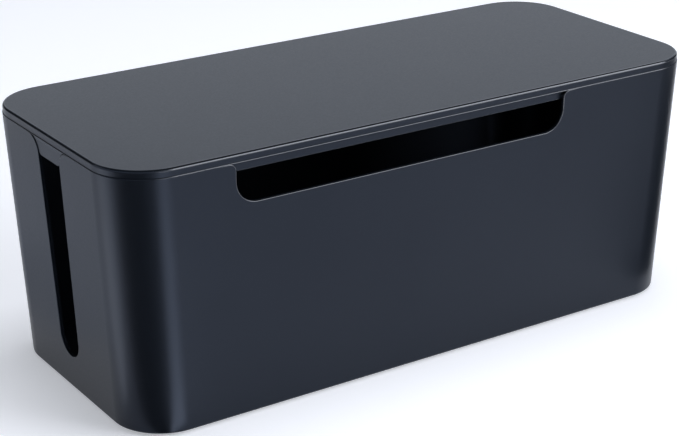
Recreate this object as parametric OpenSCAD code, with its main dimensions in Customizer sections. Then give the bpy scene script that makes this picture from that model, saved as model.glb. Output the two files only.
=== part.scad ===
// Cable management box: a drafted tub, a lift-off lid and four anti-slip feet.
// The origin is on the surface that the box stands on, below the middle of the tub.
// X runs along the box, the front is at -Y and +Z is up. All sizes are in millimetres.

/* [Box] */
// Length over the top edge of the lid
box_l = 320; // [240:1:420]
// Depth over the top edge of the lid, front to back
box_w = 136.5; // [110:0.5:180]
// Height from the tub's underside to the top of the lid
box_h = 124; // [100:1:160]
// How far each end wall leans in, from the top of the lid down to the underside
end_taper = 6; // [1:0.5:12]
// How far the front and back walls lean in, from the top of the lid down to the underside
side_taper = 3.4; // [1:0.2:8]
// Corner radius at the top of the lid, seen from above
top_corner_r = 26; // [15:1:40]
// Corner radius at the underside, seen from above
base_corner_r = 25; // [15:1:40]

/* [Tub] */
// Thickness of the tub's walls
wall = 2; // [1.5:0.1:4]
// Thickness of the tub's floor
floor_t = 2.5; // [1.5:0.1:4]

/* [Lid] */
// Height of the lid's rim, from the parting line to the top
rim_h = 4; // [3.5:0.5:8]
// Thickness of the lid's top plate
lid_t = 2.5; // [1.5:0.1:3]
// How far the lid's skirt hangs inside the walls, below the parting line
skirt_h = 4.5; // [3:0.5:8]
// Thickness of the skirt
skirt_t = 2; // [1.2:0.1:3]
// Clearance between the skirt and the inside of the walls
skirt_gap = 0.4; // [0.3:0.1:1]
// Number of stiffening ribs across the underside of the lid
rib_count = 3; // [1:1:6]
// Height of each rib below the top plate
rib_h = 3; // [1:0.5:5]
// Thickness of each rib
rib_t = 1.5; // [1:0.1:3]

/* [End slots] */
// Width of each end slot below its flared mouth
end_slot_w = 21.4; // [18.5:0.1:30]
// Width of each end slot at its round lower end
end_slot_low_w = 18; // [12:0.5:21]
// Height of the slot's lower end above the tub's underside
end_slot_sill = 17; // [8:1:60]
// Radius of the round that flares each side of the slot's mouth
end_flare_r = 8; // [3:0.5:12]
// How far the lid's tongue closes the slot, below the parting line
tongue_h = 8; // [5:0.5:14]
// How far the tongue's face lies behind the end wall's face
tongue_set_back = 0.4; // [0.2:0.1:1]
// Clearance between the tongue and the sides of the slot
tongue_gap = 0.4; // [0.3:0.1:1]
// Radius of the tongue's lower corners
tongue_corner_r = 2; // [0.5:0.5:4]

/* [Front slot] */
// Width of the front slot
front_slot_w = 178; // [60:1:190]
// Height of the front slot, below the parting line
front_slot_h = 19; // [15:1:60]
// How far the middle of the front slot lies to the left of the box's middle
front_slot_shift = 15.6; // [0:0.1:30]
// Radius of the front slot's lower corners
front_slot_r = 10.5; // [4:0.5:14]
// Radius of the round that flares each side of the front slot's mouth
front_flare_r = 3; // [1:0.5:4]

/* [Feet] */
// Diameter of each foot
foot_d = 14; // [8:1:20]
// Thickness of each foot
foot_t = 2; // [1.5:0.1:4]
// Depth of the recess that each foot is bonded into
foot_recess = 0.8; // [0.4:0.1:1.2]
// Clearance around each foot in its recess
foot_gap = 0.25; // [0.1:0.05:0.5]
// Distance from each side of the underside to the middle of a foot
foot_inset = 22; // [16:1:40]
// Chamfer around the lower edge of each foot
foot_chamfer = 0.5; // [0.2:0.1:1]

/* [Hidden] */

// Height of the tub's underside above the surface that the feet stand on
base_z = foot_t - foot_recess;
// Height of the parting line between tub and lid, above the tub's underside
rim_z = box_h - rim_h;
// Distance from the outside of the walls to the skirt's outer face
skirt_inset = wall + skirt_gap;
// Distance from the outside of the walls to the skirt's inner face
pocket_inset = skirt_inset + skirt_t;
// Facets in each quarter of a corner round
corner_facets = 12;
// Facets of a full circle, for every other round
round_facets = 96;
// How far cuts and blanks run past the faces that they pass
over = 5;
// Height of the sheets that a wall's surface is stretched between
sheet = 0.01;
// How far a joined shape sinks into its neighbour
sink = 0.5;
// Each foot: its node, and its side along X and along Y
FEET = [["foot_front_left", -1, -1], ["foot_front_right", 1, -1],
        ["foot_back_left", -1, 1], ["foot_back_right", 1, 1]];
body_colour = "#363a42";
foot_colour = "#1b1c1e";

// The drafted walls at a height above the underside: half length, half depth and corner radius
function half_l(z) = box_l / 2 - end_taper * (1 - z / box_h);
function half_w(z) = box_w / 2 - side_taper * (1 - z / box_h);
function corner_r(z) = base_corner_r + (top_corner_r - base_corner_r) * z / box_h;

// A quarter round about x, y that starts at the angle first
function quarter(x, y, r, first) =
    [for (k = [0:corner_facets]) let (a = first + 90 * k / corner_facets) [x + r * cos(a), y + r * sin(a)]];

// A rectangle with round corners, by its half sides
function round_rect(hl, hw, r) =
    concat(quarter(hl - r, hw - r, r, 0), quarter(r - hl, hw - r, r, 90),
           quarter(r - hl, r - hw, r, 180), quarter(hl - r, r - hw, r, 270));

// A sheet across the walls at one height, set in from their faces
module level(z, inset) {
    translate([0, 0, z])
        linear_extrude(height = sheet)
            polygon(round_rect(half_l(z) - inset, half_w(z) - inset, corner_r(z) - inset));
}

// The solid inside the drafted walls, set in from their faces, taller than the box at both ends
module envelope(inset) {
    hull() {
        level(-over, inset);
        level(box_h + over, inset);
    }
}

// The part of the envelope between two heights
module envelope_between(low, high, inset) {
    intersection() {
        envelope(inset);
        translate([-box_l, -box_w, low])
            cube([2 * box_l, 2 * box_w, high - low]);
    }
}

// What the round at a slot's mouth opens up, to the right of a slot's side at X = 0.
// X runs across the slot and Y up. shrink draws it smaller, for the tongue.
module flare(r, shrink) {
    difference() {
        translate([-r, rim_z - r])
            square([2 * r, r + over]);
        translate([r, rim_z - r])
            circle(r = r + shrink, $fn = round_facets);
    }
}

// Draws a shape at half a width to the right, and its mirror image to the left
module both_sides(half) {
    translate([half, 0])
        children();
    translate([-half, 0])
        mirror([1, 0])
            children();
}

// End slot seen from the end: Y across and Z up. shrink draws it smaller, for the tongue.
module end_slot_shape(shrink) {
    top = end_slot_w / 2;
    low = end_slot_low_w / 2;
    flare_z = rim_z - end_flare_r;
    polygon([[-low + shrink, end_slot_sill + low], [low - shrink, end_slot_sill + low],
             [top - shrink, flare_z], [top - shrink, rim_z + over],
             [-top + shrink, rim_z + over], [-top + shrink, flare_z]]);
    translate([0, end_slot_sill + low])
        circle(r = low - shrink, $fn = round_facets);
    both_sides(top)
        flare(end_flare_r, shrink);
}

// Front slot seen from the front: X across from the slot's middle and Z up
module front_slot_shape() {
    half = front_slot_w / 2;
    sill = rim_z - front_slot_h;
    translate([-half, sill + front_slot_r])
        square([front_slot_w, front_slot_h - front_slot_r + over]);
    translate([front_slot_r - half, sill])
        square([front_slot_w - 2 * front_slot_r, front_slot_h]);
    both_sides(half) {
        translate([-front_slot_r, sill + front_slot_r])
            circle(r = front_slot_r, $fn = round_facets);
        flare(front_flare_r, 0);
    }
}

// Stands a drawing of Y and Z up as a bar from x to x + length
module along_x(x, length) {
    translate([x, 0, 0])
        rotate([90, 0, 90])
            linear_extrude(height = length)
                children();
}

// Where the feet stand, seen from below
module at_foot(x_side, y_side) {
    translate([x_side * (half_l(0) - foot_inset), y_side * (half_w(0) - foot_inset), 0])
        children();
}

module tub() {
    // How far the slots' cuts reach in from the lid's outline
    cut_l = end_taper + wall + over;
    cut_w = side_taper + wall + over;
    color(body_colour)
    translate([0, 0, base_z])
    difference() {
        envelope_between(0, rim_z, 0);
        // The hollow
        envelope_between(floor_t, box_h, wall);
        // The slots in the end walls
        for (x = [-box_l / 2 - over, box_l / 2 - cut_l])
            along_x(x, cut_l + over)
                end_slot_shape(0);
        // The slot in the front wall
        translate([-front_slot_shift, cut_w - box_w / 2, 0])
            rotate([90, 0, 0])
                linear_extrude(height = cut_w + over)
                    front_slot_shape();
        // The recesses for the feet
        for (f = FEET)
            at_foot(f[1], f[2])
                translate([0, 0, -over])
                    cylinder(r = foot_d / 2 + foot_gap, h = over + foot_recess, $fn = round_facets);
    }
}

// The tongues' outline seen from the end: the slot's shape below the parting line, with round lower corners
module tongue_shape() {
    half = end_slot_w / 2 - tongue_gap;
    low_z = rim_z - tongue_h;
    intersection() {
        end_slot_shape(tongue_gap);
        union() {
            translate([-box_w / 2, low_z + tongue_corner_r])
                square([box_w, tongue_h - tongue_corner_r + sink]);
            translate([tongue_corner_r - half, low_z])
                square([2 * (half - tongue_corner_r), tongue_h]);
            both_sides(half - tongue_corner_r)
                translate([0, low_z + tongue_corner_r])
                    circle(r = tongue_corner_r, $fn = round_facets);
        }
    }
}

module ribs() {
    pitch = box_l / (rib_count + 1);
    intersection() {
        envelope_between(box_h - lid_t - rib_h, box_h - lid_t / 2, pocket_inset - skirt_t / 2);
        for (k = [1:rib_count])
            translate([k * pitch - box_l / 2 - rib_t / 2, -box_w / 2, 0])
                cube([rib_t, box_w, box_h]);
    }
}

module lid() {
    color(body_colour)
    translate([0, 0, base_z]) {
        difference() {
            union() {
                // The top plate with its rim, which stands on the tub's walls
                envelope_between(rim_z, box_h, 0);
                // The skirt, which drops inside the walls
                envelope_between(rim_z - skirt_h, rim_z + sink, skirt_inset);
                // The tongues, which close the mouths of the end slots
                intersection() {
                    envelope(tongue_set_back);
                    along_x(-box_l, 2 * box_l)
                        tongue_shape();
                }
            }
            // The hollow inside the skirt, up to the top plate
            envelope_between(rim_z - skirt_h - tongue_h, box_h - lid_t, pocket_inset);
        }
        ribs();
    }
}

// A rubber disc, its lower edge chamfered, standing on the surface below the tub
module foot(x_side, y_side) {
    color(foot_colour)
    at_foot(x_side, y_side)
        rotate_extrude($fn = round_facets)
            polygon([[0, 0], [foot_d / 2 - foot_chamfer, 0], [foot_d / 2, foot_chamfer],
                     [foot_d / 2, foot_t], [0, foot_t]]);
}

tub();
lid();
for (f = FEET)
    foot(f[1], f[2]);
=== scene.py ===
"""Cable management box: a drafted plastic tub on four rubber feet, with a lift-off lid.

X runs along the box, the front is at -Y and +Z is up. All lengths are in metres, and mm is one millimetre.
"""
import math

import bmesh
import bpy
from mathutils import Matrix, Vector


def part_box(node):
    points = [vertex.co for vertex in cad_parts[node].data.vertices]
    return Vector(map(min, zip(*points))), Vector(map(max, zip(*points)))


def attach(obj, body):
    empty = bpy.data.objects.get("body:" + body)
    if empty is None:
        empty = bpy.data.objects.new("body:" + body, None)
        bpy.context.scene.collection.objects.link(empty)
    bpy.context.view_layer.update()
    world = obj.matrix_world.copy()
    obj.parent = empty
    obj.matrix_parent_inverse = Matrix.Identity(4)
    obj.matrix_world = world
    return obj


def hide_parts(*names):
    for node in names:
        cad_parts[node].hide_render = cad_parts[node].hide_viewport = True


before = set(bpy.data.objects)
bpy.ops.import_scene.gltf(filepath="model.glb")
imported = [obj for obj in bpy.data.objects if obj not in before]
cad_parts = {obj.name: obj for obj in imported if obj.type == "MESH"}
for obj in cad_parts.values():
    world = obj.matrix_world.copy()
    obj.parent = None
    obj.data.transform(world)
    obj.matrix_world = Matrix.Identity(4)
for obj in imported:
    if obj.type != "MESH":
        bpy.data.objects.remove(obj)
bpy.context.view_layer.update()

mm = 0.001

# ------------------------------------------------------------------------------------------------------------
# TUB. One injection moulding in charcoal polypropylene: a flat floor and four thin walls that lean out by a
# few degrees, so that it leaves the mould. Long slots for the cables are shut off in the mould in the front
# wall and in both end walls, and each opens at the rim through a rounded mouth.
# ------------------------------------------------------------------------------------------------------------
lid_low, lid_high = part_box("lid")
tub_low, tub_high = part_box("tub")
box_length = lid_high.x - lid_low.x
box_depth = lid_high.y - lid_low.y
top_z = lid_high.z
rim_z = tub_high.z
underside_z = tub_low.z
end_taper = 6.0 * mm
side_taper = 3.4 * mm
corner_radius = 26.0 * mm
corner_segments = 24
wall = 2.0 * mm
floor_thickness = 2.5 * mm
beyond = 5.0 * mm

end_slot_width = 21.4 * mm
end_slot_low_width = 18.0 * mm
end_slot_sill_z = underside_z + 17.0 * mm
end_mouth_radius = 8.0 * mm
front_slot_width = 178.0 * mm
front_slot_middle_x = -15.6 * mm
front_slot_sill_z = rim_z - 19.0 * mm
front_slot_radius = 10.5 * mm
front_mouth_radius = 3.4 * mm

foot_radius = 7.0 * mm
foot_facets = 64
foot_inset = 22.0 * mm
foot_recess = 0.8 * mm
foot_clearance = 0.25 * mm
slot_end_segments = 16
mouth_segments = 12
base_edge_radius = 1.2 * mm
edge_radius = 0.45 * mm
end_slot_edge_radius = 0.3 * mm
rim_edge_radius = 0.12 * mm

# An edge that turns by more than this is sharp, and a face narrower than this belongs to a rounded edge. The
# polish of the front edges fades out over this much of a round corner.
sharp_turn = math.radians(40)
narrow_face = 0.5 * mm
polish_fade = 10.0 * mm

# Coordinates that differ by less than same are the same, and points closer together than weld become one
same = 0.02 * mm
weld = 0.05 * mm


def half_sides(z, inset=0.0):
    """Half the length and half the depth over the leaning walls at height z, set in from their faces."""
    down = (top_z - z) / (top_z - underside_z)
    return box_length / 2 - end_taper * down - inset, box_depth / 2 - side_taper * down - inset


def object_mode():
    """Leaves edit mode, with nothing selected."""
    if bpy.context.mode != "OBJECT":
        bpy.ops.object.mode_set(mode="OBJECT")
    bpy.ops.object.select_all(action="DESELECT")


def edit(piece):
    """Opens one piece, and nothing else, in edit mode."""
    object_mode()
    bpy.context.view_layer.objects.active = piece
    piece.select_set(True)
    bpy.ops.object.mode_set(mode="EDIT")


def pick(kind, wanted):
    """In edit mode, selects the faces or edges for which wanted(face or edge) is true, and nothing else."""
    bpy.ops.mesh.select_mode(type=kind)
    bpy.ops.mesh.select_all(action="DESELECT")
    mesh = bmesh.from_edit_mesh(bpy.context.object.data)
    for part in mesh.faces if kind == "FACE" else mesh.edges:
        if wanted(part):
            part.select_set(True)
    bmesh.update_edit_mesh(bpy.context.object.data)


def centre(part):
    """The middle of a face or an edge."""
    return sum((v.co for v in part.verts), Vector()) / len(part.verts)


def at_height(z):
    """A test for pick: true for a level face or edge at height z."""
    return lambda part: all(abs(v.co.z - z) < same for v in part.verts)


def block(name, low, high):
    """A cube stretched between two corners, its place in its mesh."""
    object_mode()
    low, high = Vector(low), Vector(high)
    bpy.ops.mesh.primitive_cube_add(size=1, location=(low + high) / 2, scale=high - low)
    made = bpy.context.object
    made.name = name
    bpy.ops.object.transform_apply(location=True, rotation=True, scale=True)
    return made


def drafted_block(name):
    """The closed box as one solid: its upright corners round, its walls leaning in towards the underside."""
    half = Vector((box_length / 2, box_depth / 2, 0))
    made = block(name, -half + Vector((0, 0, underside_z)), half + Vector((0, 0, top_z)))
    edit(made)
    pick("EDGE", lambda e: abs(e.verts[0].co.z - e.verts[1].co.z) > 0.5 * (top_z - underside_z))
    bpy.ops.mesh.bevel(offset=corner_radius, segments=corner_segments, affect="EDGES")
    low_length, low_depth = half_sides(underside_z)
    pick("FACE", at_height(underside_z))
    bpy.ops.transform.resize(
        value=(low_length / (box_length / 2), low_depth / (box_depth / 2), 1),
        center_override=(0, 0, underside_z),
    )
    return made


def slice_off(z, side):
    """In edit mode, cuts the piece level at height z, closes the cut, and drops what is on that side."""
    bpy.ops.mesh.select_all(action="SELECT")
    bpy.ops.mesh.bisect(
        plane_co=(0, 0, z), plane_no=(0, 0, 1), use_fill=True,
        clear_outer=side == "above", clear_inner=side == "below",
    )


def sink_face(z_from, z_to, inset):
    """In edit mode, sets the level face at z_from in, and pushes it to z_to along the leaning walls."""
    pick("FACE", at_height(z_from))
    bpy.ops.mesh.inset(thickness=inset, use_even_offset=True)
    mesh = bmesh.from_edit_mesh(bpy.context.object.data)
    now = [v.co for v in mesh.verts if v.select]
    half_length, half_depth = max(v.x for v in now), max(v.y for v in now)
    set_in = half_sides(z_from)[0] - half_length
    far_length, far_depth = half_sides(z_to, set_in)
    bpy.ops.mesh.extrude_region_move(TRANSFORM_OT_translate={"value": (0, 0, z_to - z_from)})
    bpy.ops.transform.resize(
        value=(far_length / half_length, far_depth / half_depth, 1), center_override=(0, 0, z_to)
    )


def combine(piece, other, operation):
    """Takes the other solid out of the piece, or joins it on, and removes the other."""
    object_mode()
    bpy.context.view_layer.objects.active = piece
    piece.select_set(True)
    modifier = piece.modifiers.new("combine", "BOOLEAN")
    modifier.operation = operation
    modifier.solver = "EXACT"
    modifier.object = other
    bpy.ops.object.modifier_apply(modifier=modifier.name)
    bpy.data.objects.remove(other)


def round_edges(piece, radius, segments, wanted):
    """Rounds the outward sharp edges for which wanted(edge) is true."""
    edit(piece)
    bpy.ops.mesh.select_all(action="SELECT")
    bpy.ops.mesh.remove_doubles(threshold=weld)
    pick(
        "EDGE",
        lambda e: e.is_manifold and e.is_convex and e.calc_face_angle(0) > sharp_turn and wanted(e),
    )
    bpy.ops.mesh.bevel(offset=radius, segments=segments, affect="EDGES", clamp_overlap=True)


def finish_moulding(piece):
    """Shades the broad faces flat and the rounds smooth, and marks the faces of the rounded edges.

    The mark fine_edge is set above the base. The mark polished_edge is full on the straight edges along the
    front, and fades out where they enter the round corners.
    """
    bpy.ops.object.mode_set(mode="OBJECT")
    bpy.ops.object.shade_smooth_by_angle(angle=sharp_turn)
    weights = piece.modifiers.new("shading", "WEIGHTED_NORMAL")
    weights.keep_sharp = True
    bpy.ops.object.modifier_apply(modifier=weights.name)
    mesh = piece.data
    fine = mesh.attributes.new("fine_edge", "FLOAT", "FACE")
    polished = mesh.attributes.new("polished_edge", "FLOAT", "FACE")
    for face, fine_mark, polished_mark in zip(mesh.polygons, fine.data, polished.data):
        longest = max((mesh.vertices[a].co - mesh.vertices[b].co).length for a, b in face.edge_keys)
        above_base = face.center.z > underside_z + floor_thickness
        fine_mark.value = 1.0 if above_base and face.area < narrow_face * longest else 0.0
        into_corner = abs(face.center.x) - (box_length / 2 - corner_radius)
        left_over = min(max(1 - into_corner / polish_fade, 0.0), 1.0) if face.center.y < 0 else 0.0
        polished_mark.value = fine_mark.value * left_over


# The blank, cut level at the parting line and hollowed from above
tub = drafted_block("tub_shell")
slice_off(rim_z, "above")
pick("EDGE", at_height(underside_z))
bpy.ops.mesh.bevel(offset=base_edge_radius, segments=4, affect="EDGES")
sink_face(rim_z, underside_z + floor_thickness, wall)

# One bar through both ends leaves the end slots: straight below the mouth, narrower lower down. Its lower end
# is round, by two rounds that stop just short of each other and are then welded.
mouth_z = rim_z - end_mouth_radius
end_bar = block(
    "end_bar",
    (-box_length, -end_slot_width / 2, end_slot_sill_z),
    (box_length, end_slot_width / 2, mouth_z),
)
edit(end_bar)
pick("FACE", at_height(mouth_z))
bpy.ops.mesh.extrude_region_move(TRANSFORM_OT_translate={"value": (0, 0, end_mouth_radius + beyond)})
pick("FACE", at_height(end_slot_sill_z))
bpy.ops.transform.resize(
    value=(1, end_slot_low_width / end_slot_width, 1), center_override=(0, 0, end_slot_sill_z)
)
pick(
    "EDGE",
    lambda e: at_height(end_slot_sill_z)(e) and abs(e.verts[0].co.x - e.verts[1].co.x) > box_length,
)
bpy.ops.mesh.bevel(offset=0.499 * end_slot_low_width, segments=slot_end_segments, affect="EDGES")
bpy.ops.mesh.select_all(action="SELECT")
bpy.ops.mesh.remove_doubles(threshold=weld)
combine(tub, end_bar, "DIFFERENCE")

# The front slot, its lower corners round
front_face_y = -box_depth / 2
front_bar = block(
    "front_bar",
    (front_slot_middle_x - front_slot_width / 2, front_face_y - beyond, front_slot_sill_z),
    (front_slot_middle_x + front_slot_width / 2, front_face_y + 2 * beyond, rim_z + beyond),
)
edit(front_bar)
pick(
    "EDGE",
    lambda e: at_height(front_slot_sill_z)(e) and abs(e.verts[0].co.y - e.verts[1].co.y) > beyond,
)
bpy.ops.mesh.bevel(offset=front_slot_radius, segments=slot_end_segments, affect="EDGES")
combine(tub, front_bar, "DIFFERENCE")

# The corners where the slots meet the rim are rounded into wide mouths. A mouth's corners are the rim's edges
# that run through an outer wall, half a slot's width from its middle. X and Y are the places in a point.
X, Y = 0, 1
outer_half = (box_length / 2, box_depth / 2)
for across, along, middle, half_width, mouth_radius in (
    (Y, X, 0.0, end_slot_width / 2, end_mouth_radius),
    (X, Y, front_slot_middle_x, front_slot_width / 2, front_mouth_radius),
):
    edit(tub)
    pick(
        "EDGE",
        lambda e: at_height(rim_z)(e)
        and abs(e.verts[0].co[across] - e.verts[1].co[across]) < same
        and abs(abs(centre(e)[across] - middle) - half_width) < weld
        and abs(centre(e)[along]) > 0.8 * outer_half[along],
    )
    bpy.ops.mesh.bevel(offset=mouth_radius, segments=mouth_segments, affect="EDGES")

# A shallow recess for each foot
foot_half_length, foot_half_depth = (half - foot_inset for half in half_sides(underside_z))
foot_places = [
    (f"foot_{depth_name}_{length_name}", Vector((x_side * foot_half_length, y_side * foot_half_depth, 0)))
    for depth_name, y_side in (("front", -1), ("back", 1))
    for length_name, x_side in (("left", -1), ("right", 1))
]
for name, foot_place in foot_places:
    object_mode()
    bpy.ops.mesh.primitive_cylinder_add(
        vertices=foot_facets, radius=foot_radius + foot_clearance, depth=2 * foot_recess,
        location=foot_place + Vector((0, 0, underside_z)),
    )
    bpy.ops.object.transform_apply(location=True, rotation=True, scale=True)
    combine(tub, bpy.context.object, "DIFFERENCE")


def in_end_wall(edge):
    """True for an edge that lies in one of the two end walls."""
    return abs(centre(edge).x) > 0.45 * box_length


round_edges(
    tub, edge_radius, segments=3, wanted=lambda e: not in_end_wall(e) and not at_height(rim_z)(e)
)
round_edges(
    tub, end_slot_edge_radius, segments=3, wanted=lambda e: in_end_wall(e) and not at_height(rim_z)(e)
)
round_edges(tub, rim_edge_radius, segments=2, wanted=at_height(rim_z))
finish_moulding(tub)


def hex_colour(code):
    """An sRGB colour such as 363a42 as Blender's linear red, green, blue and alpha."""
    parts = [int(code[i : i + 2], 16) / 255 for i in (0, 2, 4)]
    return [p / 12.92 if p <= 0.04045 else ((p + 0.055) / 1.055) ** 2.4 for p in parts] + [1.0]


def add_node(tree, kind, settings=(), inputs=(), links=()):
    """Adds a node with its settings and its inputs' values, and links inputs to a (node, output)."""
    node = tree.nodes.new(kind)
    for key, value in dict(settings).items():
        setattr(node, key, value)
    for key, value in dict(inputs).items():
        node.inputs[key].default_value = value
    for key, (source, output) in dict(links).items():
        tree.links.new(source.outputs[output], node.inputs[key])
    return node


def empty_material(name):
    """A material with an empty node tree."""
    material = bpy.data.materials.new(name)
    material.use_nodes = True
    material.node_tree.nodes.clear()
    return material


# Injection-moulded polypropylene, charcoal with a blue cast, from a spark-eroded mould: an even satin sheen,
# soft-edged reflections, and a faint unevenness where the melt has flowed. The mould's edges are finer. Those
# along the front are polished by hand, so that they come out glossy and draw thin bright lines.
shell_plastic = empty_material("satin_moulded_polypropylene_charcoal")
tree = shell_plastic.node_tree
place = add_node(tree, "ShaderNodeTexCoord")
flow = add_node(
    tree, "ShaderNodeTexNoise", {},
    {"Scale": 1 / (60 * mm), "Detail": 3.0, "Roughness": 0.5}, {"Vector": (place, "Object")},
)
tint = add_node(tree, "ShaderNodeValToRGB", links={"Fac": (flow, "Fac")})
tint.color_ramp.elements[0].position = 0.3
tint.color_ramp.elements[0].color = hex_colour("15191f")
tint.color_ramp.elements[1].position = 0.7
tint.color_ramp.elements[1].color = hex_colour("181c22")
grain = add_node(
    tree, "ShaderNodeTexNoise", {},
    {"Scale": 1 / (0.8 * mm), "Detail": 2.0, "Roughness": 0.6}, {"Vector": (place, "Object")},
)
sheen_range = add_node(
    tree, "ShaderNodeMapRange", {},
    {"From Min": 0.3, "From Max": 0.7, "To Min": 0.32, "To Max": 0.38}, {"Value": (grain, "Fac")},
)
fine_edges = add_node(tree, "ShaderNodeAttribute", {"attribute_name": "fine_edge"})
polished_edges = add_node(tree, "ShaderNodeAttribute", {"attribute_name": "polished_edge"})
sheen = add_node(
    tree, "ShaderNodeMapRange", {}, {"To Max": 0.2},
    {"Value": (fine_edges, "Fac"), "To Min": (sheen_range, "Result")},
)
relief = add_node(
    tree, "ShaderNodeBump", {}, {"Strength": 0.05, "Distance": 0.02 * mm}, {"Height": (grain, "Fac")},
)
plastic = add_node(
    tree, "ShaderNodeBsdfPrincipled", {},
    {
        "IOR": 1.49, "Specular IOR Level": 0.33, "Specular Tint": hex_colour("c6d4f2"),
        "Coat IOR": 1.68, "Coat Roughness": 0.12,
    },
    {
        "Base Color": (tint, "Color"), "Roughness": (sheen, "Result"), "Normal": (relief, "Normal"),
        "Coat Weight": (polished_edges, "Fac"),
    },
)
add_node(tree, "ShaderNodeOutputMaterial", links={"Surface": (plastic, "BSDF")})

tub.data.materials.clear()
tub.data.materials.append(shell_plastic)
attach(tub, "base")
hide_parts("tub")

# ------------------------------------------------------------------------------------------------------------
# FEET. Four die-cut discs of black rubber, each bonded into its recess in the underside, so that the box
# doesn't slide. The lower edge is chamfered, and a shallow ring groove is pressed into the sole.
# ------------------------------------------------------------------------------------------------------------
foot_thickness = 2.0 * mm
foot_chamfer = 0.5 * mm
sole_rim = 1.6 * mm
groove_depth = 0.3 * mm
groove_slope = 0.3 * mm
groove_floor = 0.9 * mm

object_mode()
bpy.ops.mesh.primitive_cylinder_add(
    vertices=foot_facets, radius=foot_radius, depth=foot_thickness, location=(0, 0, foot_thickness / 2)
)
foot = bpy.context.object
bpy.ops.object.transform_apply(location=True, rotation=True, scale=True)
edit(foot)
pick("EDGE", at_height(0.0))
bpy.ops.mesh.bevel(offset=foot_chamfer, segments=3, affect="EDGES")
pick("FACE", at_height(0.0))
bpy.ops.mesh.inset(thickness=sole_rim)
bpy.ops.mesh.inset(thickness=groove_slope)
bpy.ops.transform.translate(value=(0, 0, groove_depth))
bpy.ops.mesh.inset(thickness=groove_floor)
bpy.ops.mesh.inset(thickness=groove_slope)
bpy.ops.transform.translate(value=(0, 0, -groove_depth))
bpy.ops.object.mode_set(mode="OBJECT")
bpy.ops.object.shade_smooth_by_angle(angle=math.radians(35))

# Pressed natural rubber, black: dull, with a fine powdery grain that breaks up the little light it returns
rubber = empty_material("pressed_black_rubber")
tree = rubber.node_tree
place = add_node(tree, "ShaderNodeTexCoord")
powder = add_node(
    tree, "ShaderNodeTexNoise", {},
    {"Scale": 1 / (0.5 * mm), "Detail": 4.0, "Roughness": 0.6}, {"Vector": (place, "Object")},
)
shade = add_node(tree, "ShaderNodeValToRGB", links={"Fac": (powder, "Fac")})
shade.color_ramp.elements[0].position = 0.35
shade.color_ramp.elements[0].color = hex_colour("161719")
shade.color_ramp.elements[1].position = 0.7
shade.color_ramp.elements[1].color = hex_colour("232426")
relief = add_node(
    tree, "ShaderNodeBump", {}, {"Strength": 0.3, "Distance": 0.05 * mm}, {"Height": (powder, "Fac")},
)
matt = add_node(
    tree, "ShaderNodeBsdfPrincipled", {}, {"IOR": 1.52, "Roughness": 0.78},
    {"Base Color": (shade, "Color"), "Normal": (relief, "Normal")},
)
add_node(tree, "ShaderNodeOutputMaterial", links={"Surface": (matt, "BSDF")})
foot.data.materials.append(rubber)

for name, foot_place in foot_places:
    pad = foot.copy()
    pad.data = foot.data.copy()
    pad.name = name + "_pad"
    bpy.context.scene.collection.objects.link(pad)
    pad.data.transform(Matrix.Translation(foot_place))
    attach(pad, "base")
    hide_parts(name)
bpy.data.objects.remove(foot)

# ------------------------------------------------------------------------------------------------------------
# LID. One injection moulding in the same charcoal polypropylene. Its rim stands on the tub's walls, a skirt
# drops inside them and centres it, a tongue at each end fills the mouth of the end slot, and ribs stiffen the
# plate.
# ------------------------------------------------------------------------------------------------------------
plate = 2.5 * mm
top_edge_radius = 1.2 * mm
lid_edge_radius = 0.25 * mm
bead_radius = 0.32 * mm
bead_foot = 0.1 * mm
skirt_height = 4.5 * mm
skirt_thickness = 2.0 * mm
skirt_gap = 0.4 * mm
tongue_height = 8.0 * mm
tongue_thickness = 3.4 * mm
tongue_set_back = 0.4 * mm
tongue_gap = 0.4 * mm
tongue_corner_radius = 2.0 * mm
tongue_root = 1.0 * mm
rib_count = 3
rib_height = 3.0 * mm
rib_thickness = 1.5 * mm

# The blank, cut level at the parting line
lid = drafted_block("lid_shell")
slice_off(rim_z, "below")


def fit_loop(z, inset):
    """In edit mode, sets the level loop at height z in from the walls' faces by inset."""
    pick("EDGE", at_height(z))
    loop = [v.co for v in bmesh.from_edit_mesh(bpy.context.object.data).verts if v.select]
    half_length, half_depth = half_sides(z, inset)
    bpy.ops.transform.resize(
        value=(half_length / max(v.x for v in loop), half_depth / max(v.y for v in loop), 1),
        center_override=(0, 0, z),
    )


def bead_z(turn):
    """Height of the bead's loop at an angle of its quarter round."""
    return rim_z + bead_foot + bead_radius * math.sin(turn)


# A fine bead along the rim's lower edge: four loops on a quarter round, from the wall's face up and inwards.
# The rim above it stands back by the bead's height, and its top edge is rounded.
bead_turns = [math.radians(degrees) for degrees in (0, 30, 60, 90)]
for turn in bead_turns:
    bpy.ops.mesh.select_all(action="SELECT")
    bpy.ops.mesh.bisect(plane_co=(0, 0, bead_z(turn)), plane_no=(0, 0, 1), threshold=0.001 * mm)
for turn in bead_turns:
    fit_loop(bead_z(turn), bead_radius * (1 - math.cos(turn)))
fit_loop(top_z, bead_radius)
pick("EDGE", at_height(top_z))
bpy.ops.mesh.bevel(offset=top_edge_radius, segments=6, affect="EDGES")

# The skirt, drawn down inside the walls' line and hollowed from below
skirt_low_z = rim_z - skirt_height
sink_face(rim_z, skirt_low_z, wall + skirt_gap)
sink_face(skirt_low_z, top_z - plate, skirt_thickness)

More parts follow.
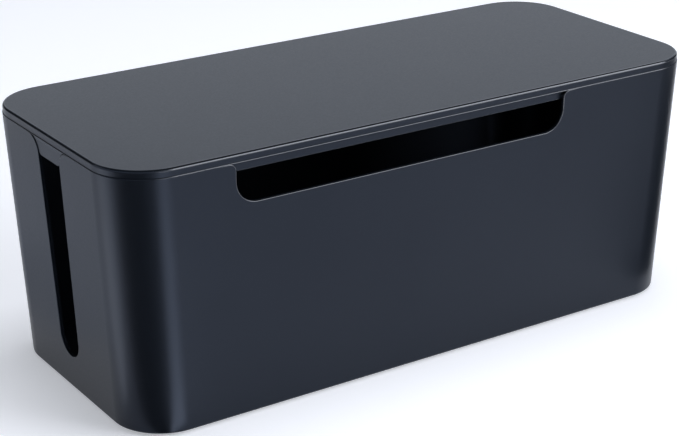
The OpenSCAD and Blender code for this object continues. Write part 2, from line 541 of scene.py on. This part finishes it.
# The tongues: a plate behind each end wall's face that leans with it, its lower corners round, just short of
# the loop where it starts to widen. Upwards it widens in steps that follow the round of the slot's mouth, and
# its root runs into the skirt and the rim.
tongue_low_z = rim_z - tongue_height
tongue_half_width = end_slot_width / 2 - tongue_gap
mouth_centre_y = end_slot_width / 2 + end_mouth_radius
scoop_radius = end_mouth_radius + tongue_gap
tongue_start_z = tongue_low_z + tongue_corner_radius
scoop_steps = 10
lean = end_taper / (top_z - underside_z)
for end in (-1, 1):
    outside = end * (half_sides(tongue_start_z)[0] - tongue_set_back)
    inside = outside - end * tongue_thickness
    tongue = block(
        "tongue",
        (min(outside, inside), -tongue_half_width, tongue_low_z),
        (max(outside, inside), tongue_half_width, tongue_start_z),
    )
    edit(tongue)
    pick("FACE", at_height(tongue_low_z))
    bpy.ops.transform.translate(value=(-end * lean * tongue_corner_radius, 0, 0))
    pick("EDGE", lambda e: at_height(tongue_low_z)(e) and abs(e.verts[0].co.y - e.verts[1].co.y) < same)
    bpy.ops.mesh.bevel(offset=0.98 * tongue_corner_radius, segments=8, affect="EDGES")
    now_z, now_half = tongue_start_z, tongue_half_width
    start_angle = math.asin((tongue_start_z - mouth_z) / scoop_radius)
    end_angle = math.asin((rim_z - mouth_z) / scoop_radius)
    for step in range(1, scoop_steps + 1):
        angle = start_angle + (end_angle - start_angle) * step / scoop_steps
        next_z = mouth_z + scoop_radius * math.sin(angle)
        next_half = mouth_centre_y - scoop_radius * math.cos(angle)
        pick("FACE", at_height(now_z))
        rise = next_z - now_z
        bpy.ops.mesh.extrude_region_move(TRANSFORM_OT_translate={"value": (end * lean * rise, 0, rise)})
        bpy.ops.transform.resize(value=(1, next_half / now_half, 1), center_override=(0, 0, next_z))
        now_z, now_half = next_z, next_half
    pick("FACE", at_height(now_z))
    bpy.ops.mesh.extrude_region_move(TRANSFORM_OT_translate={"value": (0, 0, tongue_root)})
    combine(lid, tongue, "UNION")

# The ribs across the underside
for k in range(rib_count):
    rib_x = (k + 1) * box_length / (rib_count + 1) - box_length / 2
    rib_half_depth = half_sides(rim_z)[1] - wall - skirt_gap - skirt_thickness / 2
    rib = block(
        "rib",
        (rib_x - rib_thickness / 2, -rib_half_depth, top_z - plate - rib_height),
        (rib_x + rib_thickness / 2, rib_half_depth, top_z - plate / 2),
    )
    combine(lid, rib, "UNION")

round_edges(lid, lid_edge_radius, segments=3, wanted=lambda e: not at_height(rim_z)(e))
finish_moulding(lid)
lid.data.materials.clear()
lid.data.materials.append(shell_plastic)
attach(lid, "cover")
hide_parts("lid")

# ------------------------------------------------------------------------------------------------------------
# STUDIO. White seamless paper on the floor of a pale room with a dark ceiling. Two softboxes stand in front,
# on the right, and one hangs overhead. Flags, cards and light panels out of the camera's sight draw what the
# gloss mirrors.
# ------------------------------------------------------------------------------------------------------------
floor_side = 12.0
paper_glow = 0.4
room_light = 0.2
walls_end = math.radians(30)
ceiling_start = math.radians(44)

object_mode()
bpy.ops.mesh.primitive_plane_add(size=floor_side, location=(0, 0, 0))
floor = bpy.context.object
floor.name = "studio_floor"


def seen_rays(tree):
    """1 for rays of the camera and those that gloss or glass sends on, and 0 for those that carry light."""
    rays = add_node(tree, "ShaderNodeLightPath")
    seen_or_mirrored = add_node(
        tree, "ShaderNodeMath", {"operation": "ADD"},
        links={0: (rays, "Is Camera Ray"), 1: (rays, "Is Glossy Ray")},
    )
    return add_node(
        tree, "ShaderNodeMath", {"operation": "ADD", "use_clamp": True},
        links={0: (seen_or_mirrored, "Value"), 1: (rays, "Is Transmission Ray")},
    )


# The paper shows white to the camera, and in metal and glass, and still takes the box's shadow
paper = empty_material("seamless_white_paper")
tree = paper.node_tree
seen = seen_rays(tree)
glow = add_node(tree, "ShaderNodeMath", {"operation": "MULTIPLY"}, {1: paper_glow}, {0: (seen, "Value")})
matt_paper = add_node(tree, "ShaderNodeBsdfDiffuse", {}, {"Color": hex_colour("e7e9ee")})
white = add_node(
    tree, "ShaderNodeEmission", {}, {"Color": hex_colour("f6f9ff")}, {"Strength": (glow, "Value")}
)
both = add_node(tree, "ShaderNodeAddShader", links={0: (matt_paper, "BSDF"), 1: (white, "Emission")})
add_node(tree, "ShaderNodeOutputMaterial", links={"Surface": (both, "Shader")})
floor.data.materials.append(paper)

# The room shows pale walls, a cool white that darkens overhead into the ceiling. It lights the box evenly
# from all round.
world = bpy.data.worlds.new("pale_room")
bpy.context.scene.world = world
world.use_nodes = True
tree = world.node_tree
tree.nodes.clear()
direction = add_node(tree, "ShaderNodeTexCoord")
upwards = add_node(tree, "ShaderNodeSeparateXYZ", links={0: (direction, "Generated")})
walls = add_node(tree, "ShaderNodeValToRGB", links={"Fac": (upwards, "Z")})
walls.color_ramp.elements[0].position = math.sin(walls_end)
walls.color_ramp.elements[0].color = hex_colour("edf4ff")
walls.color_ramp.elements[1].position = math.sin(ceiling_start)
walls.color_ramp.elements[1].color = hex_colour("0c0d0f")
seen = seen_rays(tree)
shown = add_node(tree, "ShaderNodeBackground", {}, {"Strength": 1.0}, {"Color": (walls, "Color")})
lighting = add_node(
    tree, "ShaderNodeBackground", {}, {"Color": hex_colour("f4f7ff"), "Strength": room_light}
)
room = add_node(
    tree, "ShaderNodeMixShader",
    links={0: (seen, "Value"), 1: (lighting, "Background"), 2: (shown, "Background")},
)
add_node(tree, "ShaderNodeOutputWorld", links={"Surface": (room, "Shader")})


def glowing_sheet(name, colour, strength):
    """A material that gives out an even light."""
    material = empty_material(name)
    lit = add_node(
        material.node_tree, "ShaderNodeEmission", {}, {"Color": hex_colour(colour), "Strength": strength}
    )
    add_node(material.node_tree, "ShaderNodeOutputMaterial", links={"Surface": (lit, "Emission")})
    return material


def lying(height, *points):
    """The corners of a sheet that lies level over four points of the floor."""
    return [(x, y, height) for x, y in points]


def standing(low, high, first, last):
    """The corners of a sheet that stands upright over two points of the floor, between two heights."""
    return [(*first, low), (*first, high), (*last, high), (*last, low)]


# Sheets that only the gloss mirrors, clear of what the camera takes in, their corners in millimetres. Two
# black flags lie on the floor and darken the round corners. One stands at the back on the left and draws the
# lid's left edge, and one on the right ends the front edges' lines at the right corner. Two grey cards glow
# dimmer than the paper and give the left end wall a painted shade in its gloss, darker towards its base. The
# light panels lie on either side of the near corner's flag, and draw the bright flanks of the dark band.
# Sheets that overlap lie a tenth of a millimetre apart.
low_layer = 0.5
mid_layer = 0.6
high_layer = 0.7
flag_cloth = empty_material("black_flag_cloth")
dark = add_node(flag_cloth.node_tree, "ShaderNodeBsdfDiffuse", {}, {"Color": hex_colour("0b0b0c")})
add_node(flag_cloth.node_tree, "ShaderNodeOutputMaterial", links={"Surface": (dark, "BSDF")})
left_diffuser = glowing_sheet("light_panel_diffuser_left", "f5f9ff", 2.9)
front_diffuser = glowing_sheet("light_panel_diffuser_front", "f5f9ff", 4.0)
# These two cards glow dimmer than the paper, and the gloss mirrors them as a painted shade on the left end
# wall.
pale_shade_card = glowing_sheet("glowing_pale_shade_card", "e6eeff", 0.88)
mid_shade_card = glowing_sheet("glowing_mid_shade_card", "e4edff", 0.62)
for name, cover, corners in (
    ("flag_front_left", flag_cloth, lying(low_layer, (-139, -62), (-205, -700), (-700, -700), (-700, -60))),
    ("flag_right", flag_cloth, lying(low_layer, (140, -86), (600, -458), (660, 80), (166, -62))),
    ("flag_back_left", flag_cloth, standing(230, 1200, (50, 1490), (-1120, 1150))),
    ("flag_back_right", flag_cloth, standing(20, 900, (1400, 510), (1400, -740))),
    ("card_left", pale_shade_card, lying(low_layer, (-203, -12), (-170, 66), (-130, 420), (-451, 225))),
    ("card_left_near", mid_shade_card, lying(mid_layer, (-203, -12), (-170, 66), (-160, 190), (-207, 165))),
    ("panel_left", left_diffuser, lying(high_layer, (-172, -42), (-550, 8), (-451, 220), (-203, -15))),
    ("panel_front", front_diffuser, lying(high_layer, (-139, -65), (-183, -458), (-42, -458), (-129, -74))),
):
    object_mode()
    bpy.ops.mesh.primitive_plane_add(size=1)
    sheet = bpy.context.object
    sheet.name = name
    for k, corner in zip((0, 1, 3, 2), corners):
        sheet.data.vertices[k].co = Vector(corner) * mm
    sheet.data.materials.append(cover)
    sheet.visible_camera = False
    sheet.visible_shadow = False
    sheet.visible_diffuse = False


def softbox(name, azimuth, elevation, distance, width, height, radiance):
    """A rectangular lamp that faces the box, placed by the direction from the box to it, in degrees."""
    a, e = math.radians(azimuth), math.radians(elevation)
    way = Vector((math.cos(a) * math.cos(e), math.sin(a) * math.cos(e), math.sin(e)))
    data = bpy.data.lights.new(name, "AREA")
    data.shape = "RECTANGLE"
    data.size = width
    data.size_y = height
    data.energy = radiance * math.pi * width * height
    data.color = hex_colour("f7f8fc")[:3]
    lamp = bpy.data.objects.new(name, data)
    lamp.location = Vector((0, 0, top_z / 2)) + distance * way
    lamp.rotation_euler = way.to_track_quat("Z", "Y").to_euler()
    bpy.context.scene.collection.objects.link(lamp)
    return lamp


# The first draws the lines on the front edges. The other two only light, and aren't mirrored in the lid.
softbox(
    "softbox_front_right", azimuth=-52, elevation=21, distance=2.0, width=1.46, height=1.15, radiance=3.3
)
fill = softbox(
    "softbox_fill", azimuth=-46, elevation=30, distance=2.4, width=1.4, height=1.4, radiance=3.6
)
fill.visible_glossy = False
overhead = softbox(
    "softbox_overhead", azimuth=0, elevation=84, distance=1.5, width=0.8, height=0.8, radiance=5.6
)
overhead.visible_glossy = False

# ------------------------------------------------------------------------------------------------------------
# CAMERA. A long lens, a little above the box and to the left of its front.
# ------------------------------------------------------------------------------------------------------------
camera_place = Vector((-458.3, -684.8, 375.9)) * mm
camera_yaw = -33.298
camera_pitch = -21.502
camera_roll = -0.321

camera_data = bpy.data.cameras.new("camera")
camera_data.sensor_width = 36.0
camera_data.lens = 95.438
camera_data.clip_start = 0.05
camera_data.clip_end = 50.0
camera = bpy.data.objects.new("camera", camera_data)
bpy.context.scene.collection.objects.link(camera)
camera.matrix_world = (
    Matrix.Translation(camera_place)
    @ Matrix.Rotation(math.radians(camera_yaw), 4, "Z")
    @ Matrix.Rotation(math.radians(90 + camera_pitch), 4, "X")
    @ Matrix.Rotation(math.radians(camera_roll), 4, "Z")
)
bpy.context.scene.camera = camera
bpy.context.scene.view_settings.view_transform = "Standard"

bpy.context.view_layer.update()
